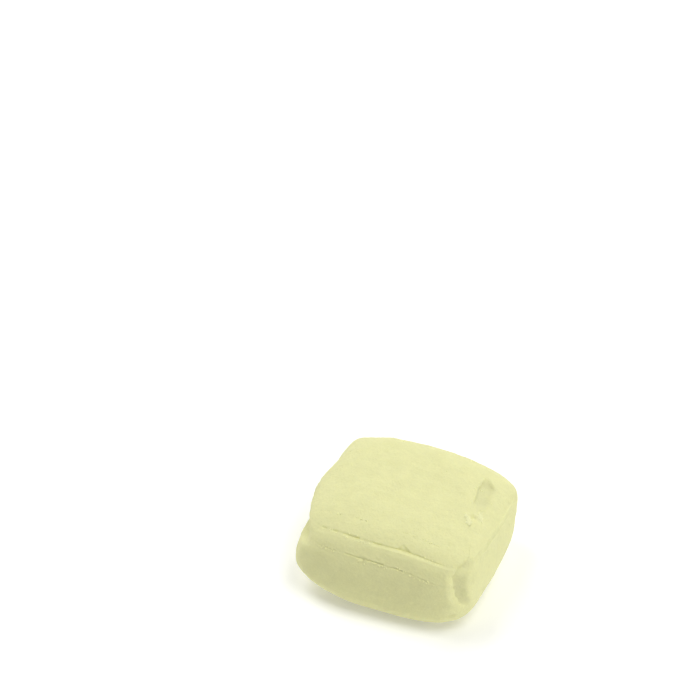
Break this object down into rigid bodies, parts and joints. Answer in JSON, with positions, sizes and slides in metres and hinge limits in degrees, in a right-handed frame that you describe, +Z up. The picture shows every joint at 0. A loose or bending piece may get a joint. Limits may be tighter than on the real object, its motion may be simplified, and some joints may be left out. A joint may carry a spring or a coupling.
{
  "type": "buttermint candy",
  "caption": "Pillow-shaped pulled mint with a soft matte surface, a fold and a split along its front, and pinched cut ends.",
  "frame": {"origin": "on the surface the mint rests on, under the middle of its bounding box", "axes": "+Z up; +X along the pulled strands, from one cut end to the other; -Y towards the side with the fold and the split"},
  "size_m": [0.0196, 0.0168, 0.0105],
  "materials": {
    "mint": "dry, chalky pale yellow sugar candy with no gloss"
  },
  "bodies": {
    "root": {"mint": "mint"}
  },
  "joints": []
}
